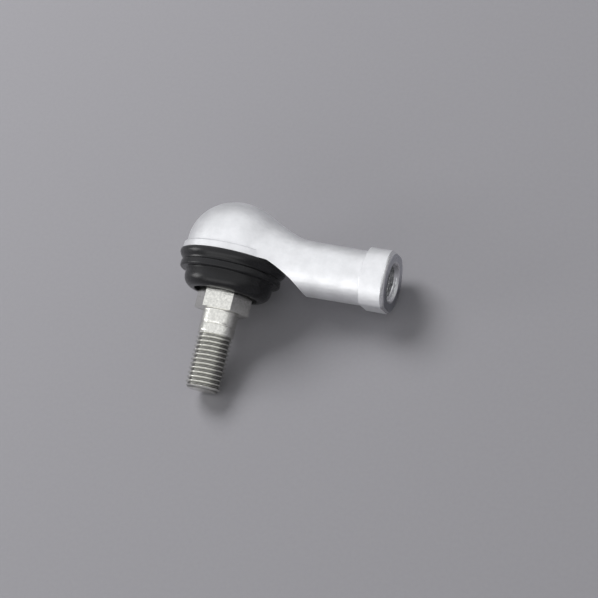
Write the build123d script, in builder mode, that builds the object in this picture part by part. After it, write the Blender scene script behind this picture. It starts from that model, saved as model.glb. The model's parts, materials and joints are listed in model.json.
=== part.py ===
from build123d import *

import os
from math import asin, atan2, cos, degrees, hypot, radians, sin, sqrt, tan

# Angle ball joint: a die-cast holder with a domed head, a ball stud and a moulded dust boot.
#
# Every piece is drawn in the joint's own frame, in millimetres: the ball's centre is the origin,
# the holder's shank runs along +X, the head's dome faces +Z and the stud points along -Z.
# The joint is then laid down as it comes to rest on a flat surface, on the rim of its boot,
# a corner of its collar and the end of its stud's thread, with +Z up and the origin at the
# bottom centre of its box.

# Ball and socket
ball_diameter = 15.875
ball_clearance = 0.03
lean_limit = 20.0
mouth_clearance_angle = 1.5
grease_pocket_diameter = 5.0
grease_pocket_depth = 1.2

# Stud, with its heights measured down its axis from the ball's centre
neck_diameter = 8.4
hexagon_top = 10.4
hexagon_bottom = 16.2
hexagon_across_flats = 14.0
hexagon_face_diameter = 13.6
hexagon_chamfer_angle = 30.0
hexagon_turn = 37.8
shoulder_diameter = 10.0
shoulder_end = 20.2
groove_width = 0.7
groove_depth = 0.2
thread_diameter = 10.0
stud_reach = 38.5
tip_chamfer = 1.0
tip_dish_diameter = 6.0
tip_dish_depth = 0.5

# Holder's head
dome_diameter = 27.6
dome_top = 15.0
dome_wall_top = 2.0
rim_diameter = 29.0
rim_top = 0.8
rim_chamfer = 0.3
rim_bottom = -1.2
skirt_diameter = 25.0
skirt_bottom = -5.6
bead_diameter = 26.0
bead_height = 1.0

# Holder's neck, with how far its tapering sides stand from the ball's centre
neck_height_reach = 14.65
neck_width_reach = 13.6
neck_taper_angle = 24.2
neck_foot_round = 12.0
neck_root = 6.0
neck_stations = 6
recess_angle = 54.0
recess_clearance = 0.6
recess_reach = 22.4

# Holder's shank and collar
shank_root_diameter = 15.3
shank_end_diameter = 14.9
holder_length = 46.0
collar_length = 6.8
collar_across_flats = 17.0
collar_corner_round = 0.6
collar_face_diameter = 16.8
collar_chamfer_angle = 30.0
bore_diameter = 10.0
bore_depth = 22.0
drill_point_angle = 118.0
countersink_diameter = 11.2

# Dust boot, with its heights in the joint's frame
boot_clearance = 0.05
boot_wall = 1.4
boot_rim_diameter = 30.0
boot_rim_height = 2.1
boot_groove_diameter = 29.0
boot_rib_diameter = 28.6
boot_rib_height = 1.7
boot_rib_bottom = -5.75
boot_rib_round = 0.5
boot_bulge_diameter = 24.6
boot_bulge_middle = -7.2
boot_roll_diameter = 17.2
boot_bottom = -11.0
boot_lip_top = -8.6
hexagon_room = 0.4

# Half sizes and the heights and lengths that follow from the sizes above
ball_radius = ball_diameter / 2
cavity_radius = ball_radius + ball_clearance
neck_radius = neck_diameter / 2
neck_top = -sqrt(ball_radius**2 - neck_radius**2)
hexagon_corner = hexagon_across_flats / sqrt(3)
thread_radius = thread_diameter / 2
shoulder_radius = shoulder_diameter / 2
dome_radius = dome_diameter / 2
rim_radius = rim_diameter / 2
skirt_radius = skirt_diameter / 2
bead_radius = bead_diameter / 2
shank_root_radius = shank_root_diameter / 2
collar_start = holder_length - collar_length
collar_corner = collar_across_flats / sqrt(3)
bore_radius = bore_diameter / 2
countersink_radius = countersink_diameter / 2
drill_point_length = bore_radius / tan(radians(drill_point_angle / 2))
boot_rim_radius = boot_rim_diameter / 2
boot_top = rim_bottom - boot_clearance
boot_bulge_radius = boot_bulge_diameter / 2
boot_roll_radius = boot_roll_diameter / 2

# The socket grips the ball past its middle, and its mouth stops the stud's neck at full lean.
mouth_angle = radians(
    degrees(asin(neck_radius / ball_radius)) + lean_limit + mouth_clearance_angle
)
mouth_flare_radius = -skirt_bottom * tan(mouth_angle)

# The recess for the boot slopes down from the rim and runs out through the neck's underside.
recess_radius = boot_rim_radius + recess_clearance
recess_depth = neck_height_reach
recess_slope_end = rim_bottom - (recess_reach - recess_radius) / tan(radians(recess_angle))


def neck_end(reach):
    """Where a tapering side that passes the ball's centre at this distance joins the shank."""
    slope = radians(neck_taper_angle)
    meeting = (reach - shank_root_radius * cos(slope)) / sin(slope)
    return meeting + neck_foot_round * tan(slope / 2)


def neck_half(distance, reach):
    """Half the neck's size at a distance along the shank: a taper, then a round into the shank."""
    slope = radians(neck_taper_angle)
    before_end = max(0, neck_end(reach) - distance)
    if before_end > neck_foot_round * sin(slope):
        return (reach - distance * sin(slope)) / cos(slope)
    return shank_root_radius + neck_foot_round - sqrt(neck_foot_round**2 - before_end**2)


# The head is drawn on the side away from the shank, so that its seam stays out of the neck.
away_from_shank = Plane(origin=(0, 0, 0), x_dir=(-1, 0, 0), z_dir=(0, 1, 0))

with BuildPart() as ball:
    Sphere(ball_radius)
    # The stud is welded to a flat as wide as its neck.
    with BuildSketch(Plane.XY.offset(neck_top)):
        Circle(ball_radius)
    extrude(amount=-ball_radius, mode=Mode.SUBTRACT)

with BuildPart() as stud:
    # The turned outline runs from the neck to the dished tip.
    with BuildSketch(Plane.XZ):
        with BuildLine():
            Polyline(
                (0, neck_top),
                (neck_radius, neck_top),
                (neck_radius, -hexagon_bottom),
                (shoulder_radius, -hexagon_bottom),
                (shoulder_radius, -shoulder_end),
                (shoulder_radius - groove_depth, -shoulder_end - groove_width / 2),
                (thread_radius, -shoulder_end - groove_width),
                (thread_radius, -stud_reach + tip_chamfer),
                (thread_radius - tip_chamfer, -stud_reach),
                (tip_dish_diameter / 2, -stud_reach),
                (0, -stud_reach + tip_dish_depth),
                close=True,
            )
        make_face()
    revolve(axis=Axis.Z)
    # The hexagon's corners are turned off on the side that faces the ball.
    with BuildSketch(Plane.XY.offset(-hexagon_bottom)):
        RegularPolygon(
            hexagon_across_flats / 2, 6, major_radius=False, rotation=hexagon_turn - 90
        )
    extrude(amount=hexagon_bottom - hexagon_top)
    with BuildSketch(Plane.XZ):
        chamfer_run = hexagon_corner - hexagon_face_diameter / 2
        with BuildLine():
            Polyline(
                (hexagon_corner - chamfer_run, -hexagon_top),
                (hexagon_corner, -hexagon_top),
                (hexagon_corner, -hexagon_top - chamfer_run * tan(radians(hexagon_chamfer_angle))),
                close=True,
            )
        make_face()
    revolve(axis=Axis.Z, mode=Mode.SUBTRACT)

with BuildPart() as holder:
    # The neck's oval sections run from inside the head to the round shank.
    shank_start = neck_end(neck_height_reach)
    for station in range(neck_stations + 1):
        distance = neck_root + (shank_start - neck_root) * station / neck_stations
        with BuildSketch(Plane.YZ.offset(distance)):
            Ellipse(neck_half(distance, neck_width_reach), neck_half(distance, neck_height_reach))
    loft()
    # The shank is turned about its own axis.
    with BuildSketch(Plane.XZ):
        with BuildLine():
            Polyline(
                (shank_start, 0),
                (shank_start, shank_root_radius),
                (collar_start, shank_end_diameter / 2),
                (collar_start, 0),
                close=True,
            )
        make_face()
    revolve(axis=Axis.X)
    # The dome is turned about the stud's axis.
    with BuildSketch(away_from_shank):
        with BuildLine():
            dome_curve = EllipticalCenterArc(
                (0, dome_wall_top),
                dome_radius,
                dome_top - dome_wall_top,
                start_angle=0,
                arc_size=90,
            )
            Polyline(
                dome_curve @ 1,
                (0, rim_bottom - recess_depth),
                (dome_radius, rim_bottom - recess_depth),
                dome_curve @ 0,
            )
        make_face()
    revolve(axis=Axis.Z)
    # Below the rim, a cone turned about the stud's axis leaves room for the boot.
    with BuildSketch(away_from_shank):
        with BuildLine():
            Polyline(
                (0, rim_bottom),
                (recess_radius, rim_bottom),
                (recess_reach, recess_slope_end),
                (recess_reach, rim_bottom - recess_depth),
                (0, rim_bottom - recess_depth),
                close=True,
            )
        make_face()
    revolve(axis=Axis.Z, mode=Mode.SUBTRACT)
    # The rim band, the skirt that the boot grips and the skirt's bead are turned the same way.
    with BuildSketch(away_from_shank):
        with BuildLine():
            Polyline(
                (0, rim_top),
                (0, skirt_bottom),
                (bead_radius, skirt_bottom),
                (bead_radius, skirt_bottom + bead_height / 2),
                (skirt_radius, skirt_bottom + bead_height),
                (skirt_radius, rim_bottom),
                (rim_radius, rim_bottom),
                (rim_radius, rim_top - rim_chamfer),
                (rim_radius - rim_chamfer, rim_top),
                close=True,
            )
        make_face()
    revolve(axis=Axis.Z)
    # The collar's hexagon has two flats square to the stud, and rounded corners.
    with BuildSketch(Plane.YZ.offset(collar_start)) as collar_section:
        RegularPolygon(collar_across_flats / 2, 6, major_radius=False)
        fillet(collar_section.vertices(), collar_corner_round)
    extrude(amount=collar_length)
    with BuildSketch(Plane.XZ):
        chamfer_run = collar_corner - collar_face_diameter / 2
        with BuildLine():
            Polyline(
                (holder_length, collar_corner - chamfer_run),
                (holder_length, collar_corner),
                (holder_length - chamfer_run * tan(radians(collar_chamfer_angle)), collar_corner),
                close=True,
            )
        make_face()
    revolve(axis=Axis.X, mode=Mode.SUBTRACT)
    # The tapped bore is drilled in along the shank and countersunk.
    with BuildSketch(Plane.XZ):
        with BuildLine():
            Polyline(
                (holder_length, 0),
                (holder_length, countersink_radius),
                (holder_length - countersink_radius + bore_radius, bore_radius),
                (holder_length - bore_depth, bore_radius),
                (holder_length - bore_depth - drill_point_length, 0),
                close=True,
            )
        make_face()
    revolve(axis=Axis.X, mode=Mode.SUBTRACT)
    # The socket holds the ball, with a pocket for grease above it and a flared mouth below.
    Sphere(cavity_radius, mode=Mode.SUBTRACT)
    with BuildSketch(Plane.XY.offset(cavity_radius + grease_pocket_depth)):
        Circle(grease_pocket_diameter / 2)
    extrude(amount=-cavity_radius, mode=Mode.SUBTRACT)
    with BuildSketch(Plane.XZ):
        with BuildLine():
            Polyline((0, 0), (mouth_flare_radius, skirt_bottom), (0, skirt_bottom), close=True)
        make_face()
    revolve(axis=Axis.Z, mode=Mode.SUBTRACT)

with BuildPart() as boot:
    with BuildSketch(Plane.XZ):
        # The rim and the rib below it, with a shallow groove between them
        with Locations((0, boot_top - boot_rim_height / 2)):
            RectangleRounded(boot_rim_diameter, boot_rim_height, boot_rib_round)
        with Locations((0, (boot_top + boot_rib_bottom) / 2)):
            Rectangle(boot_groove_diameter, boot_top - boot_rib_bottom - 2 * boot_rib_round)
        with Locations((0, boot_rib_bottom + boot_rib_height / 2)):
            RectangleRounded(boot_rib_diameter, boot_rib_height, boot_rib_round)
        # The wall below them bulges, then rolls in round the stud's hexagon.
        with BuildLine():
            roll = EllipticalCenterArc(
                (boot_roll_radius, boot_bulge_middle),
                boot_bulge_radius - boot_roll_radius,
                boot_bulge_middle - boot_bottom,
                start_angle=270,
                arc_size=90,
            )
            Polyline(
                roll @ 1,
                (boot_rib_diameter / 2 - boot_rib_round, boot_rib_bottom),
                (0, boot_rib_bottom),
                (0, boot_bottom),
                roll @ 0,
            )
        make_face()
        # The inside follows the skirt and its bead, opens out below the ball, closes on the
        # stud's neck and leaves room for the hexagon.
        inner_edge = -boot_rim_diameter
        with BuildLine():
            inside_roll = EllipticalCenterArc(
                (boot_roll_radius, boot_bulge_middle),
                boot_bulge_radius - boot_wall - boot_roll_radius,
                boot_bulge_middle - boot_lip_top,
                start_angle=0,
                arc_size=-90,
            )
            Polyline(
                inside_roll @ 1,
                (neck_radius + boot_clearance, boot_lip_top),
                (neck_radius + boot_clearance, hexagon_room - hexagon_top),
                (hexagon_corner + hexagon_room, hexagon_room - hexagon_top),
                (hexagon_corner + hexagon_room, boot_bottom),
                (inner_edge, boot_bottom),
                (inner_edge, boot_top),
                (skirt_radius + boot_clearance, boot_top),
                (skirt_radius + boot_clearance, skirt_bottom + bead_height + boot_clearance),
                (bead_radius + boot_clearance, skirt_bottom + bead_height / 2 + boot_clearance),
                (bead_radius + boot_clearance, skirt_bottom - boot_clearance),
                (boot_bulge_radius - boot_wall, skirt_bottom - boot_clearance),
                inside_roll @ 0,
            )
        make_face(mode=Mode.SUBTRACT)
    revolve(axis=Axis.Z)

# At rest a plane touches the boot's rim, the collar's lower corner and the thread's end. Each
# touching point depends a little on the plane's tilt, so a few rounds settle both.
down = Vector(0, 1, 0)
for _ in range(12):
    outward = Vector(down.X, down.Y, 0).normalized()
    rim_touch = (
        outward * (boot_rim_radius - boot_rib_round)
        + Vector(0, 0, boot_top - boot_rim_height + boot_rib_round)
        + down * boot_rib_round
    )
    thread_touch = outward * thread_radius + Vector(0, 0, tip_chamfer - stud_reach)
    corner_centre = collar_corner - collar_corner_round / cos(radians(30))
    corner_reach = corner_centre + collar_corner_round
    corner_run = corner_reach - collar_face_diameter / 2
    corner_touch = Vector(
        holder_length - corner_run * tan(radians(collar_chamfer_angle)), corner_reach, 0
    )
    down = (corner_touch - rim_touch).cross(thread_touch - rim_touch).normalized()

shank_forward = (Vector(1, 0, 0) - down * down.X).normalized()
rest = Plane(origin=(0, 0, 0), x_dir=shank_forward, z_dir=-down)
turned = rest.location.inverse()
box = Compound([piece.part.moved(turned) for piece in (holder, ball, stud, boot)]).bounding_box()
lay_down = Location((-box.center().X, -box.center().Y, rim_touch.dot(down))) * turned

os.makedirs("parts", exist_ok=True)

holder.part.move(lay_down)
holder.part.label = "holder"
export_step(holder.part, "parts/holder.step")

ball.part.move(lay_down)
ball.part.label = "ball"
export_step(ball.part, "parts/ball.step")

stud.part.move(lay_down)
stud.part.label = "stud"
export_step(stud.part, "parts/stud.step")

boot.part.move(lay_down)
boot.part.label = "boot"
export_step(boot.part, "parts/boot.step")
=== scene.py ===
"""Dresses the angle ball joint: casting, threaded collar, ball, stud, dust boot and studio."""

import json
from math import cos, pi, radians, sin, sqrt, tan

import bmesh
import bpy
import numpy as np
from bpy.props import FloatProperty, FloatVectorProperty, IntProperty, PointerProperty
from mathutils import Matrix, Vector


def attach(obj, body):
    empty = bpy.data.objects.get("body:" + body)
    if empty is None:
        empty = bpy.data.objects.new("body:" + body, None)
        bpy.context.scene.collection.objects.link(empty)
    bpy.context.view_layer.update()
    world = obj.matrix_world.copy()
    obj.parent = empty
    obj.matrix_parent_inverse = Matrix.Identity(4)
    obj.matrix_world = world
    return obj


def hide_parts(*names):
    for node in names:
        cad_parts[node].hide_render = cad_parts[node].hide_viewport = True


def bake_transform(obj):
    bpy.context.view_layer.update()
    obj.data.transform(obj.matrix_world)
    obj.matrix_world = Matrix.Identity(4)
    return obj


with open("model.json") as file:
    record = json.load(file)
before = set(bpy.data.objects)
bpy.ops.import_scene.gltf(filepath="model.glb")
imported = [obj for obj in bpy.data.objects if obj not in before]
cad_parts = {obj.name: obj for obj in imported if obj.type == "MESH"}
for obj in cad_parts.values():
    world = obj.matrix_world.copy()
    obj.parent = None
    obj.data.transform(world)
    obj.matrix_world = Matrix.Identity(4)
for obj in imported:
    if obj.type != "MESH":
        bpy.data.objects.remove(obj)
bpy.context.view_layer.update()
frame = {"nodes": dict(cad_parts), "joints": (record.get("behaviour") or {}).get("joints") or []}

bl_info = {
    "name": "Angle Ball Joint",
    "version": (1, 0, 0),
    "blender": (4, 5, 0),
    "location": "View3D > Sidebar > Ball Joint",
    "description": "Die-cast angle ball joint with a threaded stud and a dust boot",
    "category": "Add Mesh",
}

MM = 0.001
FACET_ROUNDS, RECESS_ROUNDS, SKIN_ROUNDS = 6, 6, 8


# ---------------------------------------------------------------- the joint's own frame

def joint_frame():
    """The ball's centre, and the shank's, side and head's axes as columns, read from the joints."""
    joints = {joint["name"]: joint for joint in frame["joints"]}
    centre = np.array(joints["lean_direction"]["pos_m"])
    head = np.array(joints["lean_direction"]["axis"])
    side = np.array(joints["lean"]["axis"])
    return centre, np.stack([np.cross(side, head), side, head], axis=1)


CENTRE, AXES = joint_frame()


def in_row(points):
    """Points of the joint's frame, in mm, put in the shared frame, in metres."""
    return CENTRE + MM * np.asarray(points) @ AXES.T


def in_joint(points):
    """Points of the shared frame, in metres, put in the joint's frame, in mm."""
    return (np.asarray(points) - CENTRE) @ AXES / MM


# ---------------------------------------------------------------- sizes and colours

def length(name, size, description):
    """A length that a user may change. Its default is given in mm."""
    return FloatProperty(
        name=name, description=description, default=size * MM, min=0.0, precision=5,
        unit="LENGTH", subtype="DISTANCE",
    )


def colour(name, value, description):
    """A base colour that a user may change."""
    return FloatVectorProperty(
        name=name, description=description, default=value, min=0.0, max=1.0, size=3,
        subtype="COLOR",
    )


def share(name, value, description):
    """A number between 0 and 1 that a user may change."""
    return FloatProperty(
        name=name, description=description, default=value, min=0.0, max=1.0, subtype="FACTOR"
    )


class StudSizes(bpy.types.PropertyGroup):
    """Sizes of the ball stud; heights run down its axis from the ball's centre."""

    neck_top: length("Neck's start", 6.74, "Where the neck leaves the ball")
    neck_radius: length("Neck radius", 4.2, "Radius of the neck below the ball")
    hexagon_top: length("Hexagon's top", 10.4, "Height of the hexagon's upper face")
    hexagon_bottom: length("Hexagon's bottom", 16.2, "Height of the hexagon's lower face")
    hexagon_flat: length("Half across flats", 6.75, "Distance from the axis to a flat")
    hexagon_round: length("Corner round", 0.15, "Rounding of the hexagon's upright corners")
    face_radius: length("Face radius", 6.6, "Radius of the hexagon's turned face")
    hexagon_turn: FloatProperty(
        name="Hexagon's turn", description="Angle of the hexagon's first corner from the shank",
        default=radians(7.8), subtype="ANGLE",
    )
    shank_radius: length("Stud radius", 5.0, "Radius of the plain part and of the thread")
    groove_middle: length("Groove's middle", 20.05, "Height of the turned groove")
    groove_half: length("Groove's half width", 0.45, "Half the width of the turned groove")
    groove_depth: length("Groove depth", 0.2, "Depth of the turned groove")
    thread_start: length("Thread's start", 22.1, "Where the thread begins")
    thread_run_out: length("Thread's run-out", 1.6, "Length over which the thread grows deep")
    reach: length("Reach", 38.5, "Distance from the ball's centre to the stud's tip")
    tip_chamfer: length("Tip chamfer", 1.0, "Chamfer on the end of the thread")
    dish_radius: length("Dish radius", 3.0, "Radius of the dish in the tip")
    dish_depth: length("Dish depth", 0.5, "Depth of the dish in the tip")


class ThreadSizes(bpy.types.PropertyGroup):
    """Sizes of the two threads."""

    pitch: length("Pitch", 1.25, "Distance from one ridge of the thread to the next")
    outer_depth: length("Stud thread depth", 0.74, "Height of the ridges on the stud")
    inner_depth: length("Bore thread depth", 0.64, "Height of the ridges in the collar's bore")


class CollarSizes(bpy.types.PropertyGroup):
    """Sizes of the shank's collar; distances run along the shank from the ball's centre."""

    start: length("Collar's start", 39.2, "Where the collar's shoulder stands")
    end: length("Shank's end", 46.2, "Where the collar's end face lies")
    radius: length("Collar radius", 9.0, "Radius of the collar")
    flat: length("Half across flats", 8.0, "Distance from the axis to a spanner flat")
    chamfer: length("Chamfer", 0.8, "Chamfer round the end face")
    shank_radius: length("Shank radius", 7.46, "Radius of the shank at the collar")
    foot_round: length("Foot round", 0.45, "Rounding between the shank and the collar's shoulder")
    corner_round: length("Corner round", 0.3, "How softly the flats run into the round side")
    edge_round: length("Edge round", 0.3, "Rounding of the shoulder's edge")
    bore_radius: length("Bore radius", 5.0, "Radius of the bore at the root of its thread")
    sleeve_radius: length("Sleeve radius", 5.25, "Radius of the hidden sleeve behind the thread")
    countersink_radius: length("Countersink radius", 5.6, "Radius of the bore's mouth")
    thread_end: length("Thread's end", 24.6, "How near to the ball the bore's thread runs")


class HolderSizes(bpy.types.PropertyGroup):
    """Sizes of the head and neck, which say where the casting's skin is blended."""

    dome_radius: length("Dome radius", 13.8, "Radius of the head")
    dome_foot: length("Dome's foot", 2.0, "Height at which the head's side turns upright")
    dome_top: length("Dome's top", 15.0, "Height of the head's crown")
    neck_side: length("Neck's side", 13.6, "How far the neck's sides pass from the ball's centre")
    neck_crown: length("Neck's crown", 14.65, "How far the neck's top passes from the centre")
    neck_taper: FloatProperty(
        name="Neck's taper", description="Slope of the neck's sides towards the shank",
        default=radians(24.2), subtype="ANGLE",
    )
    neck_foot: length("Neck's foot", 12.0, "Radius of the round between the neck and the shank")
    shank_root: length("Shank's root", 7.65, "Radius of the shank where it leaves the neck")
    blend: length("Blend", 1.1, "How softly the head runs into the neck")
    blend_foot: length("Blend's foot", 0.9, "Height above which that softness begins")
    blend_start: length("Blend's start", 3.0, "How far out from the head's axis it starts")
    blend_rise: length("Blend's rise", 4.0, "Distance over which that softness grows")
    recess_start: length("Recess's start", 15.6, "Radius at which the boot's recess begins")
    recess_top: length("Recess's top", 1.2, "How far below the ball's centre the recess begins")
    recess_angle: FloatProperty(
        name="Recess's angle", description="Angle between the recess and the head's axis",
        default=radians(54), subtype="ANGLE",
    )
    recess_bend: length("Recess's bend", 19.5, "Radius at which the recess begins to steepen")
    recess_wall: length("Recess's wall", 22.4, "Radius of the recess's upright end in the CAD")
    recess_end: length("Recess's end", 22.9, "Radius at which the recess meets the shank")
    recess_foot: length("Recess's foot", 7.65, "Depth at which the recess meets the shank")
    facet: length("Facet", 0.6, "Longest edge of the skin where it is blended")


class BootSizes(bpy.types.PropertyGroup):
    """Sizes of the dust boot; heights run down from the ball's centre."""

    top: length("Boot's top", 1.25, "Height of the rim's upper face")
    rim_radius: length("Rim radius", 15.0, "Radius of the boot's rim")
    rim_edge: length("Rim's edge", 2.2, "Height at which the rim starts to taper")
    groove_radius: length("Groove radius", 13.9, "Radius of the groove below the rim")
    groove_height: length("Groove's height", 4.05, "Height of the groove's middle")
    rib_radius: length("Rib radius", 14.15, "Radius of the rib below the groove")
    rib_bottom: length("Rib's bottom", 6.3, "Height of the rib's lower face")
    round: length("Edge round", 0.55, "Rounding of the rim and the rib")
    bulge_radius: length("Bulge radius", 12.3, "Radius of the wall below the rib")
    roll_radius: length("Roll radius", 9.3, "Radius at which the wall turns inwards")
    roll_height: length("Roll's height", 8.0, "Height at which the wall turns inwards")
    bottom: length("Boot's bottom", 11.2, "Height of the boot's lowest ring")
    mouth_radius: length("Mouth radius", 8.9, "Radius of the mouth round the hexagon")
    seat: length("Seat", 10.0, "Height of the face over the hexagon")
    lip_radius: length("Lip radius", 5.6, "Radius of the hole round the stud's neck")
    lip_round: length("Lip round", 0.25, "Rounding of the mouth's edge")
    inner_radius: length("Inner radius", 12.55, "Radius of the rim's inside")
    bead_radius: length("Bead groove radius", 13.05, "Radius of the groove over the holder's bead")
    bead_top: length("Bead groove's top", 5.05, "Height of that groove's upper side")
    bead_bottom: length("Bead groove's bottom", 5.66, "Height of that groove's lower side")
    wall: length("Wall", 1.4, "Thickness of the boot's wall")


class Finishes(bpy.types.PropertyGroup):
    """Colours and roughness of the finishes, and the painted shade of the stud's thread roots."""

    casting: colour("Casting", (0.9, 0.905, 0.92), "Colour of the die-cast holder")
    casting_roughness: share("Casting roughness", 0.5, "Roughness of the die-cast holder")
    turned: colour("Turned face", (0.5, 0.51, 0.55), "Colour of the collar's turned face")
    turned_roughness: share("Turned roughness", 0.3, "Roughness of the collar's turned face")
    plating: colour("Plating", (0.82, 0.815, 0.77), "Colour of the plated stud")
    plating_roughness: share("Plating roughness", 0.16, "Roughness of the plated stud")
    # Painted shade in the stud's thread roots: the plating's colour darkens to this share of its
    # lightness at this radius and fades out over this reach.
    root_radius: length("Thread root", 4.28, "Radius at which the stud's thread is darkest")
    painted_shade_reach: length("Root's reach", 0.4, "Distance from that radius at which the shade ends")
    painted_root_shade: share("Root's shade", 0.34, "Lightness left in the root of the stud's thread")
    steel: colour("Bearing steel", (0.78, 0.78, 0.79), "Colour of the polished ball")
    rubber: colour("Rubber", (0.01, 0.01, 0.011), "Colour of the dust boot")
    rubber_roughness: share("Rubber roughness", 0.24, "Roughness of the dust boot")
    room_light: share("Room light", 0.3, "How strongly the room lights dull surfaces")
    room_white: share("Room ceiling", 0.98, "How bright the room's ceiling looks in reflections")
    room_wall: share("Room wall", 0.35, "How bright the room's walls look in reflections")
    floor: colour("Floor", (0.31, 0.305, 0.325), "Colour of the studio's floor")


# ---------------------------------------------------------------- meshes from arrays

def skin(name, points, faces_by_corners, sharp_angle=32.0):
    """A mesh object from an array of points, in metres, and arrays of faces with 3 or 4 corners.
    Its volume, a sixth of the sum of first . (second x third) over its triangles, is made
    positive, so that faces point outwards. Edges sharper than the angle stay crisp."""
    corners = [np.asarray(faces, np.int32) for faces in faces_by_corners if len(faces)]
    fans = [f[:, [0, k, k + 1]] for f in corners for k in range(1, f.shape[1] - 1)]
    first, second, third = np.moveaxis(points[np.concatenate(fans)], 1, 0)
    if np.einsum("ij,ij->i", first, np.cross(second, third)).sum() < 0:
        corners = [f[:, ::-1] for f in corners]
    mesh = bpy.data.meshes.new(name)
    mesh.vertices.add(len(points))
    mesh.vertices.foreach_set("co", np.ascontiguousarray(points, np.float32).ravel())
    flat = np.concatenate([f.ravel() for f in corners])
    sizes = np.concatenate([np.full(len(f), f.shape[1], np.int32) for f in corners])
    mesh.loops.add(len(flat))
    mesh.loops.foreach_set("vertex_index", flat)
    mesh.polygons.add(len(sizes))
    starts = np.concatenate([[0], np.cumsum(sizes)[:-1]]).astype(np.int32)
    mesh.polygons.foreach_set("loop_start", starts)
    mesh.update(calc_edges=True)
    mesh.validate()
    mesh.polygons.foreach_set("use_smooth", np.ones(len(mesh.polygons), bool))
    mesh.set_sharp_from_angle(angle=radians(sharp_angle))
    piece = bpy.data.objects.new(name, mesh)
    bpy.context.scene.collection.objects.link(piece)
    return piece


def ring_faces(rings, around, closed):
    """Corner numbers of the quads between neighbouring rings; each ring's last point meets its
    first, and in a closed skin the last ring meets the first ring."""
    here = np.arange(rings * around).reshape(rings, around)
    there = np.roll(here, -1, axis=0)
    if not closed:
        here, there = here[:-1], there[:-1]
    quads = np.stack([here, np.roll(here, -1, 1), np.roll(there, -1, 1), there], axis=-1)
    return quads.reshape(-1, 4)


def turned_skin(name, rings, closed, sharp_angle=32.0):
    """A closed skin over rings of points, an array of (rings, points around, 3) in the joint's
    frame. An open stack of rings gets a pole in the middle of each end."""
    count, around, _ = rings.shape
    points = rings.reshape(-1, 3)
    faces = [ring_faces(count, around, closed)]
    if not closed:
        first = np.arange(around)
        last = first + (count - 1) * around
        poles = len(points) + np.array([0, 1])
        points = np.concatenate([points, rings[[0, -1]].mean(axis=1)])
        faces.append(np.stack([np.roll(first, -1), first, np.full(around, poles[0])], axis=1))
        faces.append(np.stack([last, np.roll(last, -1), np.full(around, poles[1])], axis=1))
    return skin(name, in_row(points), faces, sharp_angle)


def arc(centre, radius, start, end, steps=8):
    """Points of an arc in a plane: centre + radius * (cosine, sine) from start to end degrees."""
    turn = np.radians(np.linspace(start, end, steps + 1))
    return np.stack([centre[0] + radius[0] * np.cos(turn), centre[1] + radius[1] * np.sin(turn)], 1)


def hexagon(angle, flat, corner_round, first_corner):
    """Distance from the axis to a hexagon with rounded corners. Along a flat it is the flat's
    distance over the cosine of the turn from the flat's middle, and round a corner it is the far
    crossing with a circle that touches both flats."""
    off = np.abs((angle - first_corner + pi / 6) % (pi / 3) - pi / 6)
    middle = (flat - corner_round) / cos(pi / 6)
    joins = np.arctan2(corner_round * 0.5, middle + corner_round * cos(pi / 6))
    along = middle * np.cos(off)
    across = middle * np.sin(off)
    corner = along + np.sqrt(np.maximum(corner_round**2 - across**2, 0))
    return np.where(off < joins, corner, flat / np.cos(pi / 6 - off))


def hexagon_angles(first_corner, per_side):
    """Angles round a hexagon, closer together near its corners: within a side the turn from the
    middle is 30 degrees times the sine of an even share of a quarter turn."""
    share_of_side = np.arange(per_side) / per_side * 2 - 1
    turn = pi / 6 * np.sin(pi / 2 * share_of_side)
    sides = first_corner + pi / 6 + pi / 3 * np.arange(6)
    return (sides[:, None] + turn[None, :]).ravel()


def flatted_angles(corner, per_flat, per_side):
    """Angles round a circle with a flat above and below, from the turn at which the upper flat
    begins: even shares of the flat's turn, then even shares of the round side's turn."""
    flat = np.linspace(corner, pi - corner, per_flat, endpoint=False)
    side = np.linspace(pi - corner, pi + corner, per_side, endpoint=False)
    return np.concatenate([flat, side, flat + pi, side + pi])


def groove(turns, pitch, depth):
    """Depth of a thread's groove after so many turns. It is zero on the crest, whose width is an
    eighth of the pitch, falls along a 60 degree flank and is level at the root."""
    off = np.abs((turns + 0.5) % 1 - 0.5) * pitch
    return np.clip((off - pitch / 16) * sqrt(3), 0, depth)


def ease(share_along):
    """A smooth step: 3 s squared - 2 s cubed, with s held between 0 and 1."""
    held = np.clip(share_along, 0, 1)
    return held * held * (3 - 2 * held)


# ---------------------------------------------------------------- procedural finishes

def new_finish(name):
    """An empty node material with its output and a shader already joined."""
    finish = bpy.data.materials.new(name)
    finish.use_nodes = True
    nodes = finish.node_tree.nodes
    nodes.clear()
    output = nodes.new("ShaderNodeOutputMaterial")
    shader = nodes.new("ShaderNodeBsdfPrincipled")
    finish.node_tree.links.new(shader.outputs["BSDF"], output.inputs["Surface"])
    return finish, nodes, finish.node_tree.links, shader


def own_millimetres(nodes, links):
    """Object coordinates turned into the joint's frame and scaled to millimetres."""
    place = nodes.new("ShaderNodeTexCoord")
    turn = nodes.new("ShaderNodeMapping")
    turn.vector_type = "POINT"
    back = Matrix(AXES.T.tolist())
    turn.inputs["Rotation"].default_value = back.to_euler("XYZ")
    turn.inputs["Scale"].default_value = (1 / MM, 1 / MM, 1 / MM)
    turn.inputs["Location"].default_value = -(back @ Vector(CENTRE.tolist())) / MM
    links.new(place.outputs["Object"], turn.inputs["Vector"])
    return turn.outputs["Vector"]


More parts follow.
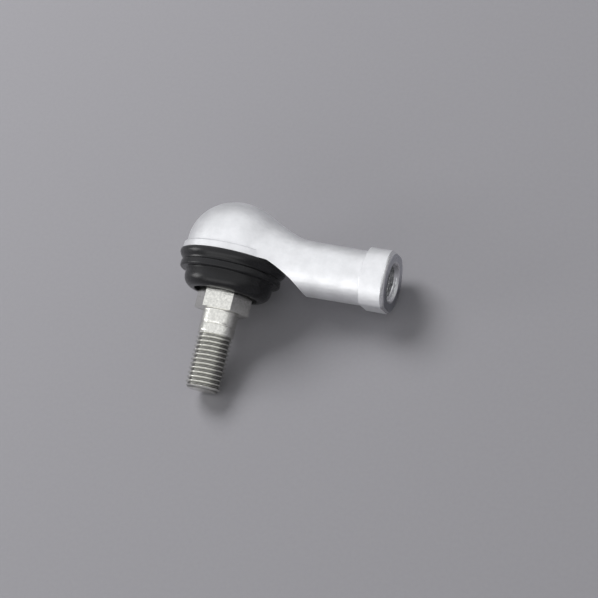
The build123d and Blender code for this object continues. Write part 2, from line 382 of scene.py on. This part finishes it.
def noise(nodes, links, where, scale, detail=2.0, roughness=0.5, stretch=(1, 1, 1)):
    """A noise pattern at a scale per millimetre, with its coordinates stretched."""
    if tuple(stretch) != (1, 1, 1):
        pull = nodes.new("ShaderNodeMapping")
        pull.inputs["Scale"].default_value = stretch
        links.new(where, pull.inputs["Vector"])
        where = pull.outputs["Vector"]
    pattern = nodes.new("ShaderNodeTexNoise")
    pattern.inputs["Scale"].default_value = scale
    pattern.inputs["Detail"].default_value = detail
    pattern.inputs["Roughness"].default_value = roughness
    links.new(where, pattern.inputs["Vector"])
    return pattern.outputs["Fac"]


def spread(nodes, links, value, low, high, from_low=0.3, from_high=0.7):
    """A pattern's value moved to lie between low and high."""
    span = nodes.new("ShaderNodeMapRange")
    span.inputs["From Min"].default_value = from_low
    span.inputs["From Max"].default_value = from_high
    span.inputs["To Min"].default_value = low
    span.inputs["To Max"].default_value = high
    links.new(value, span.inputs["Value"])
    return span.outputs["Result"]


def mixed(nodes, links, value, first, second):
    """The first colour where a pattern is 0 and the second where it is 1."""
    mix = nodes.new("ShaderNodeMix")
    mix.data_type = "RGBA"
    links.new(value, mix.inputs[0])
    mix.inputs[6].default_value = (*first, 1)
    mix.inputs[7].default_value = (*second, 1)
    return mix.outputs[2]


def relief(nodes, links, shader, heights, distance):
    """Bump from the sum of some patterns, each a (value, weight) pair."""
    total = None
    for value, weight in heights:
        scaled = nodes.new("ShaderNodeMath")
        scaled.operation = "MULTIPLY_ADD"
        links.new(value, scaled.inputs[0])
        scaled.inputs[1].default_value = weight
        if total is None:
            scaled.inputs[2].default_value = 0.0
        else:
            links.new(total, scaled.inputs[2])
        total = scaled.outputs[0]
    bump = nodes.new("ShaderNodeBump")
    bump.inputs["Strength"].default_value = 1.0
    bump.inputs["Distance"].default_value = distance
    links.new(total, bump.inputs["Height"])
    links.new(bump.outputs["Normal"], shader.inputs["Normal"])


def faded(tone, factor):
    """A colour made lighter or darker."""
    return tuple(min(1.0, part * factor) for part in tone)


def shaded(nodes, links, value, base, low, high):
    """A base colour that a pattern takes from one share of its lightness to another."""
    return mixed(
        nodes, links, spread(nodes, links, value, 0, 1), faded(base, low), faded(base, high)
    )


def satin_casting(finishes):
    """Satin die casting: pale, with soft cloudy patches, fine grain and faint flow lines."""
    finish, nodes, links, shader = new_finish("satin_casting")
    where = own_millimetres(nodes, links)
    base = tuple(finishes.casting)
    clouds = noise(nodes, links, where, 0.22, detail=4.0, roughness=0.6)
    tone = shaded(nodes, links, clouds, base, 0.9, 1.04)
    links.new(tone, shader.inputs["Base Color"])
    grain = noise(nodes, links, where, 3.2, detail=3.0, roughness=0.7)
    rough = finishes.casting_roughness
    links.new(spread(nodes, links, grain, rough - 0.05, rough + 0.06), shader.inputs["Roughness"])
    shader.inputs["Metallic"].default_value = 1.0
    flow = noise(nodes, links, where, 0.5, detail=2.0, stretch=(0.4, 1.6, 1.6))
    relief(nodes, links, shader, [(grain, 0.5), (flow, 1.0)], 0.06 * MM)
    return finish


def turned_aluminium(finishes):
    """Turned end face and bore: greyer than the casting, mottled, with rings of tool marks."""
    finish, nodes, links, shader = new_finish("turned_aluminium")
    where = own_millimetres(nodes, links)
    base = tuple(finishes.turned)
    mottle = noise(nodes, links, where, 1.1, detail=6.0, roughness=0.7)
    tone = shaded(nodes, links, mottle, base, 0.8, 1.12)
    links.new(tone, shader.inputs["Base Color"])
    rough = finishes.turned_roughness
    links.new(spread(nodes, links, mottle, rough + 0.08, rough - 0.06), shader.inputs["Roughness"])
    shader.inputs["Metallic"].default_value = 1.0
    marks = noise(nodes, links, where, 2.5, detail=3.0)
    relief(nodes, links, shader, [(marks, 1.0), (mottle, 0.6)], 0.03 * MM)
    return finish


def tapped_aluminium(finishes):
    """Freshly cut metal of the chamfer, countersink and bore: bright, with close tool marks."""
    finish, nodes, links, shader = new_finish("tapped_aluminium")
    where = own_millimetres(nodes, links)
    base = tuple(finishes.casting)
    streaks = noise(nodes, links, where, 1.0, detail=3.0, stretch=(6.0, 0.5, 0.5))
    tone = shaded(nodes, links, streaks, base, 0.72, 1.05)
    links.new(tone, shader.inputs["Base Color"])
    links.new(spread(nodes, links, streaks, 0.3, 0.16), shader.inputs["Roughness"])
    shader.inputs["Metallic"].default_value = 1.0
    relief(nodes, links, shader, [(streaks, 1.0)], 0.03 * MM)
    return finish


def warm_plating(finishes):
    """Plated steel: warm grey and mottled, with fine turning marks and painted shade darkening the
    thread roots. The painted shade fades with |distance from the axis - root's radius|, over the
    reach of the shade."""
    finish, nodes, links, shader = new_finish("warm_plating")
    where = own_millimetres(nodes, links)
    base = tuple(finishes.plating)
    mottle = noise(nodes, links, where, 1.3, detail=6.0, roughness=0.7)
    tone = shaded(nodes, links, mottle, base, 0.74, 1.12)
    flat = nodes.new("ShaderNodeVectorMath")
    flat.operation = "MULTIPLY"
    flat.inputs[1].default_value = (1, 1, 0)
    links.new(where, flat.inputs[0])
    radius = nodes.new("ShaderNodeVectorMath")
    radius.operation = "LENGTH"
    links.new(flat.outputs["Vector"], radius.inputs[0])
    off_root = nodes.new("ShaderNodeMath")
    off_root.operation = "SUBTRACT"
    off_root.inputs[1].default_value = finishes.root_radius / MM
    links.new(radius.outputs["Value"], off_root.inputs[0])
    gap = nodes.new("ShaderNodeMath")
    gap.operation = "ABSOLUTE"
    links.new(off_root.outputs[0], gap.inputs[0])
    # Painted shade: the colour darkens towards the thread root's radius, in place of the shade that
    # falls in the roots.
    unshaded = spread(
        nodes, links, gap.outputs[0], 0, 1, from_low=0.03, from_high=finishes.painted_shade_reach / MM
    )
    shade = nodes.new("ShaderNodeMix")
    shade.data_type = "RGBA"
    links.new(unshaded, shade.inputs[0])
    shade.inputs[6].default_value = (*faded(base, finishes.painted_root_shade), 1)
    links.new(tone, shade.inputs[7])
    links.new(shade.outputs[2], shader.inputs["Base Color"])
    rough = finishes.plating_roughness
    links.new(
        spread(nodes, links, mottle, rough + 0.12, rough - 0.06), shader.inputs["Roughness"]
    )
    shader.inputs["Metallic"].default_value = 1.0
    marks = noise(nodes, links, where, 1.0, detail=2.0, stretch=(0.15, 0.15, 9.0))
    grain = noise(nodes, links, where, 4.0, detail=3.0)
    relief(nodes, links, shader, [(marks, 0.5), (grain, 0.6), (mottle, 1.0)], 0.05 * MM)
    return finish


def polished_ball(finishes):
    """Polished ball: bright, with very faint rings of polish."""
    finish, nodes, links, shader = new_finish("polished_ball")
    where = own_millimetres(nodes, links)
    base = tuple(finishes.steel)
    rings = noise(nodes, links, where, 1.0, detail=2.0, stretch=(0.2, 0.2, 6.0))
    tone = shaded(nodes, links, rings, base, 0.96, 1.02)
    links.new(tone, shader.inputs["Base Color"])
    links.new(spread(nodes, links, rings, 0.1, 0.16), shader.inputs["Roughness"])
    shader.inputs["Metallic"].default_value = 1.0
    return finish


def satin_rubber(finishes):
    """Satin black rubber: even, with fine mould texture and a little dust-grey variation."""
    finish, nodes, links, shader = new_finish("satin_rubber")
    where = own_millimetres(nodes, links)
    base = tuple(finishes.rubber)
    dust = noise(nodes, links, where, 0.35, detail=5.0, roughness=0.6)
    tone = shaded(nodes, links, dust, base, 1.0, 1.5)
    links.new(tone, shader.inputs["Base Color"])
    grain = noise(nodes, links, where, 5.0, detail=3.0, roughness=0.6)
    rough = finishes.rubber_roughness
    links.new(spread(nodes, links, grain, rough - 0.05, rough + 0.08), shader.inputs["Roughness"])
    shader.inputs["Specular IOR Level"].default_value = 0.3
    relief(nodes, links, shader, [(grain, 1.0)], 0.015 * MM)
    return finish


def paper_floor(finishes):
    """Pale seamless paper with a hardly visible tooth."""
    finish, nodes, links, shader = new_finish("paper_floor")
    place = nodes.new("ShaderNodeTexCoord")
    base = tuple(finishes.floor)
    tooth = noise(nodes, links, place.outputs["Object"], 900.0, detail=2.0)
    tone = shaded(nodes, links, tooth, base, 0.985, 1.015)
    links.new(tone, shader.inputs["Base Color"])
    shader.inputs["Roughness"].default_value = 0.85
    return finish


def finished(piece, material):
    """Gives a piece or a CAD node one material."""
    if piece.data.materials:
        for number in range(len(piece.data.materials)):
            piece.data.materials[number] = material
    else:
        piece.data.materials.append(material)
    return piece


# ---------------------------------------------------------------- the holder's casting

def soft_lower(first, second, reach):
    """The lower of two distances, rounded off where they are nearly equal: the lower one, less
    the square of (reach - their difference) over 4 times the reach."""
    near = np.maximum(reach - np.abs(first - second), 0)
    return np.minimum(first, second) - near**2 / (4 * np.maximum(reach, 1e-6))


def from_dome(points, sizes):
    """About how far points stand off the head: a round wall, and above its foot a half
    ellipsoid, each as its level less 1, over the steepness of that level."""
    radius, foot = sizes.dome_radius / MM, sizes.dome_foot / MM
    height = (sizes.dome_top - sizes.dome_foot) / MM
    out = np.hypot(points[:, 0], points[:, 1]) / radius
    up = np.maximum(points[:, 2] - foot, 0) / height
    level = np.hypot(out, up)
    steepness = np.hypot(out / radius, up / height) / np.maximum(level, 1e-6)
    return (level - 1) / np.maximum(steepness, 1e-6)


def from_neck(points, sizes):
    """About how far points stand off the neck: its section is an oval whose half sizes are
    (reach - distance * sine of the taper) / cosine of the taper, for its sides and its crown."""
    slope = sizes.neck_taper
    run = points[:, 0] * sin(slope)
    wide = (sizes.neck_side / MM - run) / cos(slope)
    high = (sizes.neck_crown / MM - run) / cos(slope)
    level = np.hypot(points[:, 1] / wide, points[:, 2] / high)
    steepness = np.hypot(points[:, 1] / wide**2, points[:, 2] / high**2)
    steepness = steepness / np.maximum(level, 1e-6)
    return (level - 1) / np.maximum(steepness, 1e-6) * cos(slope)


def blend_reach(points, sizes):
    """Reach of the blend in mm: nothing at the rim band and in the head's middle, and growing
    smoothly upwards from the band and outwards towards the neck."""
    rise = sizes.blend_rise / MM
    above_band = (points[:, 2] - sizes.blend_foot / MM) / rise
    from_middle = (points[:, 0] - sizes.blend_start / MM) / rise
    return sizes.blend / MM * ease(above_band) * ease(from_middle)


def blended_skin(points, sizes):
    """Distance to the head and neck run softly together."""
    reach = blend_reach(points, sizes)
    return soft_lower(from_dome(points, sizes), from_neck(points, sizes), reach)


def steepest(points, sizes, step=0.01):
    """Direction in which the blended distance grows fastest, from central differences."""
    parts = []
    for axis in np.eye(3) * step:
        parts.append(blended_skin(points + axis, sizes) - blended_skin(points - axis, sizes))
    return np.stack(parts, axis=1) / (2 * step)


def neck_half(distance, reach, sizes):
    """Half the neck's size at distances along the shank, in mm: it tapers as the skin does, and a
    round takes it into the shank: root + round - square root of (round squared - rest squared)."""
    slope, turn, root = sizes.neck_taper, sizes.neck_foot / MM, sizes.shank_root / MM
    finish = (reach - root * cos(slope)) / sin(slope) + turn * tan(slope / 2)
    rest = np.maximum(finish - distance, 0)
    taper = (reach - distance * sin(slope)) / cos(slope)
    foot = root + turn - np.sqrt(np.maximum(turn**2 - rest**2, 0))
    return np.where(rest > turn * sin(slope), taper, foot)


def steepen_recess(body, sizes):
    """Moves the lower end of the boot's recess along the shank. From its bend on, the recess falls
    by a share of the distance and a share of the distance squared, until it meets the shank's
    underside. A moved point keeps its share of the neck's size, so it stays on the skin."""
    bend, wall, end = sizes.recess_bend / MM, sizes.recess_wall / MM, sizes.recess_end / MM
    slope = 1 / tan(sizes.recess_angle)
    top = -sizes.recess_top / MM - (bend - sizes.recess_start / MM) * slope
    curve = (top - slope * (end - bend) + sizes.recess_foot / MM) / (end - bend) ** 2
    body.verts.ensure_lookup_table()
    points = in_joint(np.array([vertex.co for vertex in body.verts]))
    out, fall = np.hypot(points[:, 0], points[:, 1]), top - points[:, 2]
    on_cone = (np.abs(out - bend - fall / slope) < 0.05) & (out > bend) & (out < wall + 0.05)
    on_wall = (np.abs(out - wall) < 0.05) & (fall > (wall - bend) * slope - 0.05)
    moving = (on_cone | on_wall) & (points[:, 0] > 0) & (fall > 0)
    held = points[moving]
    moved = held.copy()
    for _ in range(RECESS_ROUNDS):
        drop = np.maximum(top - moved[:, 2], 0)
        root = (np.sqrt(slope**2 + 4 * curve * drop) - slope) / (2 * curve)
        moved[:, 0] = np.sqrt((bend + root) ** 2 - moved[:, 1] ** 2)
        for side, reach in ((1, sizes.neck_side / MM), (2, sizes.neck_crown / MM)):
            grown = neck_half(moved[:, 0], reach, sizes) / neck_half(held[:, 0], reach, sizes)
            moved[:, side] = held[:, side] * grown
    for number, place in zip(np.flatnonzero(moving), in_row(moved)):
        body.verts[number].co = place


def casting_copy(name, sizes, collar):
    """A merged copy of the holder's CAD mesh, cut off square at the collar's shoulder, with its
    facets made small where the head meets the neck."""
    body = bmesh.new()
    body.from_mesh(frame["nodes"]["holder"].data)
    bmesh.ops.remove_doubles(body, verts=body.verts, dist=2e-7)
    steepen_recess(body, sizes)
    cut_at = Vector(in_row([(collar.start - 0.2 * MM) / MM, 0, 0]).tolist())
    cut = bmesh.ops.bisect_plane(
        body, geom=body.verts[:] + body.edges[:] + body.faces[:], dist=1e-7, plane_co=cut_at,
        plane_no=Vector(AXES[:, 0].tolist()), clear_outer=True,
    )
    rim = [part for part in cut["geom_cut"] if isinstance(part, bmesh.types.BMEdge)]
    bmesh.ops.triangle_fill(body, use_beauty=True, use_dissolve=False, edges=rim)
    bmesh.ops.triangulate(body, faces=body.faces[:])
    for _ in range(FACET_ROUNDS):
        body.verts.ensure_lookup_table()
        points = in_joint(np.array([vertex.co for vertex in body.verts]))
        near = near_crease(points, sizes, sizes.facet / MM)
        long = [
            edge for edge in body.edges
            if (near[edge.verts[0].index] or near[edge.verts[1].index])
            and edge.calc_length() > sizes.facet
        ]
        if not long:
            break
        bmesh.ops.subdivide_edges(body, edges=long, cuts=1)
        bmesh.ops.triangulate(body, faces=[face for face in body.faces if len(face.verts) > 3])
    mesh = bpy.data.meshes.new(name)
    body.to_mesh(mesh)
    body.free()
    if "custom_normal" in mesh.attributes:
        mesh.attributes.remove(mesh.attributes["custom_normal"])
    return mesh


def near_crease(points, sizes, margin):
    """Whether points lie on the skin of the head or neck and within the blend's reach."""
    dome, neck = from_dome(points, sizes), from_neck(points, sizes)
    on_skin = np.abs(np.minimum(dome, neck)) < 0.12
    reach = blend_reach(points, sizes)
    return on_skin & (reach > 0) & (np.abs(dome - neck) < reach + margin)


class BALLJOINT_OT_casting(bpy.types.Operator):
    """Die-cast holder: head, neck and shank run softly together"""

    bl_idname = "ball_joint.casting"
    bl_label = "Holder casting"

    def execute(self, context):
        sizes = context.scene.ball_joint_holder
        mesh = casting_copy("holder_casting", sizes, context.scene.ball_joint_collar)
        held = np.empty(len(mesh.vertices) * 3, np.float32)
        mesh.vertices.foreach_get("co", held)
        points = in_joint(held.reshape(-1, 3).astype(float))
        moving = near_crease(points, sizes, 0.0)
        for _ in range(SKIN_ROUNDS):
            slope = steepest(points[moving], sizes)
            off = blended_skin(points[moving], sizes) / np.maximum((slope**2).sum(1), 1e-6)
            points[moving] -= np.minimum(off, 0)[:, None] * slope
        mesh.vertices.foreach_set("co", in_row(points).astype(np.float32).ravel())
        mesh.update()
        mesh.polygons.foreach_set("use_smooth", np.ones(len(mesh.polygons), bool))
        mesh.set_sharp_from_angle(angle=radians(28))
        piece = bpy.data.objects.new("holder_casting", mesh)
        context.scene.collection.objects.link(piece)
        finished(piece, finish_named(context, "satin_casting", satin_casting))
        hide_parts("holder")
        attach(piece, "holder")
        return {"FINISHED"}


class BALLJOINT_OT_collar(bpy.types.Operator):
    """Round collar with two spanner flats, its turned face, countersink and threaded bore"""

    bl_idname = "ball_joint.collar"
    bl_label = "Threaded collar"

    def execute(self, context):
        sizes = context.scene.ball_joint_collar
        thread = context.scene.ball_joint_thread
        radius_of_collar, flat = sizes.radius / MM, sizes.flat / MM
        angle = flatted_angles(np.arcsin(flat / radius_of_collar), 30, 66)
        start, end, chamfer = sizes.start / MM, sizes.end / MM, sizes.chamfer / MM
        foot, edge = sizes.foot_round / MM, sizes.edge_round / MM
        shank, soft = sizes.shank_radius / MM, sizes.corner_round / MM
        inner = sizes.sleeve_radius / MM
        rings = []

        def ring(along, radius):
            rings.append([np.broadcast_to(part, angle.shape) for part in (along, radius)])

        def flatted(inset):
            to_flat = (flat - min(inset, edge)) / np.maximum(np.abs(np.sin(angle)), 1e-3)
            return soft_lower(np.full_like(angle, radius_of_collar - inset), to_flat, soft)

        ring(start - foot, inner)
        ring(start - foot, shank - 0.1)
        for along, radius in arc((start - foot, shank + foot), (foot, foot), 270, 360):
            ring(along, np.minimum(radius, flatted(edge)))
        for along, inset in arc((edge, edge), (edge, edge), 180, 270, 5):
            ring(start + along, flatted(inset))
        ring(end - chamfer - 0.08, flatted(0.0))
        ring(end - chamfer + 0.04, flatted(0.04))
        ring(end - 0.06, flatted(chamfer - 0.06))
        ring(end, flatted(chamfer + 0.08))
        face_ring = len(rings) - 1
        mouth, bore = sizes.countersink_radius / MM, sizes.bore_radius / MM
        ring(end, mouth + 0.1)
        ring(end - 0.04, mouth)
        pitch, depth = thread.pitch / MM, thread.inner_depth / MM
        stop = sizes.thread_end / MM
        for along in np.arange(end - 0.1, stop, -pitch / 18):
            cone = bore - 0.02 + (along - (end - mouth + bore))
            ridge = depth - groove(along / pitch - angle / (2 * pi), pitch, depth)
            fade = ease((along - stop) / pitch)
            ring(along, np.maximum(bore - 0.02 - ridge * fade, cone))
        ring(stop, bore - 0.02)
        ring(stop, inner)
        along, radius = np.moveaxis(np.array(rings), 1, 0)
        points = np.stack([along, radius * np.cos(angle), radius * np.sin(angle)], axis=-1)
        piece = turned_skin("threaded_collar", points, closed=True)
        finished(piece, finish_named(context, "satin_casting", satin_casting))
        piece.data.materials.append(finish_named(context, "turned_aluminium", turned_aluminium))
        piece.data.materials.append(finish_named(context, "tapped_aluminium", tapped_aluminium))
        ring_of_face = np.arange(len(piece.data.polygons)) // len(angle)
        finish_of_ring = np.zeros(len(rings), np.int32)
        chamfer_ring = face_ring - 3
        finish_of_ring[chamfer_ring:-1] = 2
        finish_of_ring[face_ring] = 1
        piece.data.polygons.foreach_set("material_index", finish_of_ring[ring_of_face])
        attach(piece, "holder")
        return {"FINISHED"}


class BALLJOINT_OT_stud(bpy.types.Operator):
    """Ball stud: neck, hexagon, turned groove, rolled thread and dished tip"""

    bl_idname = "ball_joint.stud"
    bl_label = "Threaded stud"

    def execute(self, context):
        sizes = context.scene.ball_joint_stud
        thread = context.scene.ball_joint_thread
        angle = hexagon_angles(sizes.hexagon_turn, 48)
        flat, corner = sizes.hexagon_flat / MM, sizes.hexagon_round / MM
        side = hexagon(angle, flat, corner, sizes.hexagon_turn)
        top, bottom = sizes.hexagon_top / MM, sizes.hexagon_bottom / MM
        neck, face = sizes.neck_radius / MM, sizes.face_radius / MM
        radius_of_shank, reach = sizes.shank_radius / MM, sizes.reach / MM
        rings = []

        def ring(down, radius):
            rings.append([np.broadcast_to(part, angle.shape) for part in (down, radius)])

        ring(sizes.neck_top / MM, neck * 0.5)
        ring(sizes.neck_top / MM, neck)
        for down, radius in arc((top - 0.3, neck + 0.3), (0.3, 0.3), 270, 360, 5):
            ring(down, radius)
        ring(top, face - 0.1)
        ring(top + 0.03, face + 0.05)
        chamfer = (side - face) * tan(radians(30))
        ring(top + chamfer * 0.97, side - 0.05 * (side - face) / flat)
        ring(top + chamfer + 0.06, side)
        ring(bottom - 0.14, side)
        ring(bottom - 0.04, side - 0.04)
        ring(bottom, side - 0.14)
        for down, radius in arc((bottom + 0.35, radius_of_shank + 0.35), (0.35, 0.35), 180, 270, 6):
            ring(down, radius)
        middle, dip = sizes.groove_middle / MM, sizes.groove_depth / MM
        half = sizes.groove_half / MM
        for off in np.linspace(-half, half, 13):
            ring(middle + off, radius_of_shank - dip * cos(off / half * pi / 2) ** 2)
        pitch, depth = thread.pitch / MM, thread.outer_depth / MM
        start, run_out = sizes.thread_start / MM, sizes.thread_run_out / MM
        chamfer_from = (sizes.reach - sizes.tip_chamfer) / MM
        for down in np.append(np.arange(start, reach, pitch / 20), reach):
            cut = groove(down / pitch + angle / (2 * pi), pitch, depth)
            cut = cut * ease((down - start) / run_out)
            cone = radius_of_shank - max(0.0, down - chamfer_from)
            ring(down, np.minimum(radius_of_shank - cut, cone))
        dish, hollow = sizes.dish_radius / MM, sizes.dish_depth / MM
        ring(reach, dish + 0.15)
        for share_in in np.linspace(1, 0.08, 8):
            ring(reach - hollow * (1 - share_in) ** 1.5, dish * share_in)
        down, radius = np.moveaxis(np.array(rings), 1, 0)
        points = np.stack([radius * np.cos(angle), radius * np.sin(angle), -down], axis=-1)
        piece = turned_skin("threaded_stud", points, closed=False)
        finished(piece, finish_named(context, "warm_plating", warm_plating))
        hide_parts("stud")
        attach(piece, "stud")
        return {"FINISHED"}


class BALLJOINT_OT_ball(bpy.types.Operator):
    """Polished finish for the ball, which keeps its CAD shape"""

    bl_idname = "ball_joint.ball"
    bl_label = "Ball finish"

    def execute(self, context):
        finished(frame["nodes"]["ball"], finish_named(context, "polished_ball", polished_ball))
        return {"FINISHED"}


class BALLJOINT_OT_boot(bpy.types.Operator):
    """Moulded dust boot: rim, groove, rib and a wall that rolls in round the hexagon"""

    bl_idname = "ball_joint.boot"
    bl_label = "Dust boot"

    def execute(self, context):
        sizes = context.scene.ball_joint_boot
        top, rim, taper = -sizes.top / MM, sizes.rim_radius / MM, -sizes.rim_edge / MM
        groove_at, groove_deep = -sizes.groove_height / MM, sizes.groove_radius / MM
        rib, rib_bottom, edge = sizes.rib_radius / MM, -sizes.rib_bottom / MM, sizes.round / MM
        bulge, roll = sizes.bulge_radius / MM, sizes.roll_radius / MM
        middle = -sizes.roll_height / MM
        bottom, mouth, wall = -sizes.bottom / MM, sizes.mouth_radius / MM, sizes.wall / MM
        seat, lip_radius = -sizes.seat / MM, sizes.lip_radius / MM
        inside, bead = sizes.inner_radius / MM, sizes.bead_radius / MM
        bead_top, bead_bottom = -sizes.bead_top / MM, -sizes.bead_bottom / MM
        lip = sizes.lip_round / MM
        outline = [
            [(inside, top), (inside + 0.6, top)],
            arc((rim - edge, top - edge), (edge, edge), 90, 0),
            [(rim, taper), (rim - 0.2, taper - 0.5), (rim - 0.6, taper - 1.1)],
            [(groove_deep + 0.12, groove_at + 0.35), (groove_deep, groove_at + 0.12)],
            [(groove_deep, groove_at - 0.12)],
            arc((rib - edge, groove_at - 0.25 - edge), (edge, edge), 75, 0),
            arc((rib - edge, rib_bottom + edge), (edge, edge), 0, -90),
            arc((bulge + 0.3, rib_bottom - 0.3), (0.3, 0.3), 90, 180, 4),
            arc((roll, middle), (bulge - roll, middle - bottom), 0, -90, 24),
            arc((mouth + lip, bottom + lip), (lip, lip), 270, 180, 4),
            [(mouth, seat), (lip_radius, seat), (lip_radius, seat + wall)],
            arc((roll, middle), (bulge - wall - roll, middle - seat - wall), -90, 0, 12),
            [(bulge - wall, bead_bottom), (bead, bead_bottom), (bead, bead_top)],
            [(inside, bead_top + 0.55)],
        ]
        profile = np.concatenate([np.asarray(part, float) for part in outline])
        angle = np.linspace(0, 2 * pi, 192, endpoint=False)
        radius, height = profile[:, :1], np.repeat(profile[:, 1:], len(angle), axis=1)
        points = np.stack([radius * np.cos(angle), radius * np.sin(angle), height], axis=-1)
        piece = turned_skin("dust_boot", points, closed=True, sharp_angle=50)
        finished(piece, finish_named(context, "satin_rubber", satin_rubber))
        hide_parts("boot")
        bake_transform(piece)
        return {"FINISHED"}


def finish_named(context, name, make):
    """The material of that name, made on first use."""
    return bpy.data.materials.get(name) or make(context.scene.ball_joint_finishes)


# ---------------------------------------------------------------- the studio

def softbox(name, place, aim, size, power):
    """A rectangular area lamp at a place, facing the aim."""
    lamp = bpy.data.lights.new(name, "AREA")
    lamp.shape = "RECTANGLE"
    lamp.size, lamp.size_y = size
    lamp.energy = power
    holder = bpy.data.objects.new(name, lamp)
    holder.location = place
    holder.rotation_euler = (Vector(place) - Vector(aim)).to_track_quat("Z", "Y").to_euler()
    bpy.context.scene.collection.objects.link(holder)
    return holder


def white_surroundings(context):
    """A white room: the camera and reflections see it as white overhead and greyer towards the
    floor, and it lights dull surfaces with a smaller strength, so that shadows stay."""
    world = bpy.data.worlds.new("white_surroundings")
    world.use_nodes = True
    nodes, links = world.node_tree.nodes, world.node_tree.links
    background = nodes["Background"]
    background.inputs["Color"].default_value = (0.98, 0.985, 1.0, 1)
    rays = nodes.new("ShaderNodeLightPath")
    seen = rays.outputs["Is Camera Ray"]
    for kind in ("Is Glossy Ray", "Is Transmission Ray"):
        either = nodes.new("ShaderNodeMath")
        either.operation = "MAXIMUM"
        links.new(seen, either.inputs[0])
        links.new(rays.outputs[kind], either.inputs[1])
        seen = either.outputs[0]
    finishes = context.scene.ball_joint_finishes
    direction = nodes.new("ShaderNodeTexCoord")
    parts = nodes.new("ShaderNodeSeparateXYZ")
    links.new(direction.outputs["Generated"], parts.inputs["Vector"])
    overhead = nodes.new("ShaderNodeMapRange")
    overhead.interpolation_type = "SMOOTHSTEP"
    overhead.inputs["From Min"].default_value = 0.0
    overhead.inputs["From Max"].default_value = 0.55
    overhead.inputs["To Min"].default_value = finishes.room_wall
    overhead.inputs["To Max"].default_value = finishes.room_white
    links.new(parts.outputs["Z"], overhead.inputs["Value"])
    strength = nodes.new("ShaderNodeMapRange")
    strength.inputs["To Min"].default_value = finishes.room_light
    links.new(overhead.outputs["Result"], strength.inputs["To Max"])
    links.new(seen, strength.inputs["Value"])
    links.new(strength.outputs["Result"], background.inputs["Strength"])
    return world


class BALLJOINT_OT_stage(bpy.types.Operator):
    """Plain pale floor, soft lamps, even surroundings and the camera"""

    bl_idname = "ball_joint.stage"
    bl_label = "Studio"

    def execute(self, context):
        scene = context.scene
        share_of_side = np.linspace(-1, 1, 41)
        across, along = np.meshgrid(share_of_side, share_of_side, indexing="ij")
        points = np.stack([across, along, np.zeros_like(across)], axis=-1).reshape(-1, 3) * 2.0
        number = np.arange(across.size).reshape(across.shape)
        quads = np.stack([number[:-1, :-1], number[1:, :-1], number[1:, 1:], number[:-1, 1:]], -1)
        floor = skin("studio_floor", points, [quads.reshape(-1, 4)])
        finished(floor, finish_named(context, "paper_floor", paper_floor))
        key = softbox("key_lamp", (-0.45, 0.4, 0.75), (0, 0, 0), (0.5, 0.5), 7.6)
        key.visible_glossy = False
        softbox("front_lamp", (-0.05, -0.6, 0.22), (0, 0, 0.01), (0.9, 0.3), 0.9)
        softbox("side_lamp", (-0.6, -0.2, 0.2), (0, 0, 0.01), (0.25, 0.25), 0.8)
        scene.world = white_surroundings(context)
        lens = bpy.data.cameras.new("camera")
        lens.lens, lens.sensor_width = 97.63, 36.0
        lens.clip_start, lens.clip_end = 0.01, 10.0
        camera = bpy.data.objects.new("camera", lens)
        camera.location = (0.1969947, -0.1829861, 0.3613848)
        camera.rotation_euler = [radians(turn) for turn in (32.5187, 19.3308, 18.4545)]
        scene.collection.objects.link(camera)
        scene.camera = camera
        scene.view_settings.view_transform = "Standard"
        return {"FINISHED"}


# ---------------------------------------------------------------- the add-on

class BALLJOINT_PT_pieces(bpy.types.Panel):
    """Lists the pieces and the sizes and colours that shape them"""

    bl_idname = "BALLJOINT_PT_pieces"
    bl_label = "Angle Ball Joint"
    bl_space_type = "VIEW_3D"
    bl_region_type = "UI"
    bl_category = "Ball Joint"

    def draw(self, context):
        for operator in OPERATORS:
            self.layout.operator(operator.bl_idname)
        for label, holder in PROPERTIES.items():
            group = getattr(context.scene, label)
            column = self.layout.box().column()
            column.label(text=holder.__name__)
            for name in holder.__annotations__:
                column.prop(group, name)


OPERATORS = (
    BALLJOINT_OT_casting,
    BALLJOINT_OT_collar,
    BALLJOINT_OT_ball,
    BALLJOINT_OT_stud,
    BALLJOINT_OT_boot,
    BALLJOINT_OT_stage,
)
PROPERTIES = {
    "ball_joint_holder": HolderSizes,
    "ball_joint_collar": CollarSizes,
    "ball_joint_thread": ThreadSizes,
    "ball_joint_stud": StudSizes,
    "ball_joint_boot": BootSizes,
    "ball_joint_finishes": Finishes,
}


def register():
    """Registers the property groups, operators and panel."""
    for name, group in PROPERTIES.items():
        bpy.utils.register_class(group)
        setattr(bpy.types.Scene, name, PointerProperty(type=group))
    for operator in OPERATORS:
        bpy.utils.register_class(operator)
    bpy.utils.register_class(BALLJOINT_PT_pieces)


def unregister():
    """Undoes register."""
    bpy.utils.unregister_class(BALLJOINT_PT_pieces)
    for operator in reversed(OPERATORS):
        bpy.utils.unregister_class(operator)
    for name, group in reversed(PROPERTIES.items()):
        delattr(bpy.types.Scene, name)
        bpy.utils.unregister_class(group)


def main():
    """Builds every piece and the studio."""
    register()
    for operator in OPERATORS:
        group, name = operator.bl_idname.split(".")
        getattr(getattr(bpy.ops, group), name)()


if __name__ == "__main__":
    main()
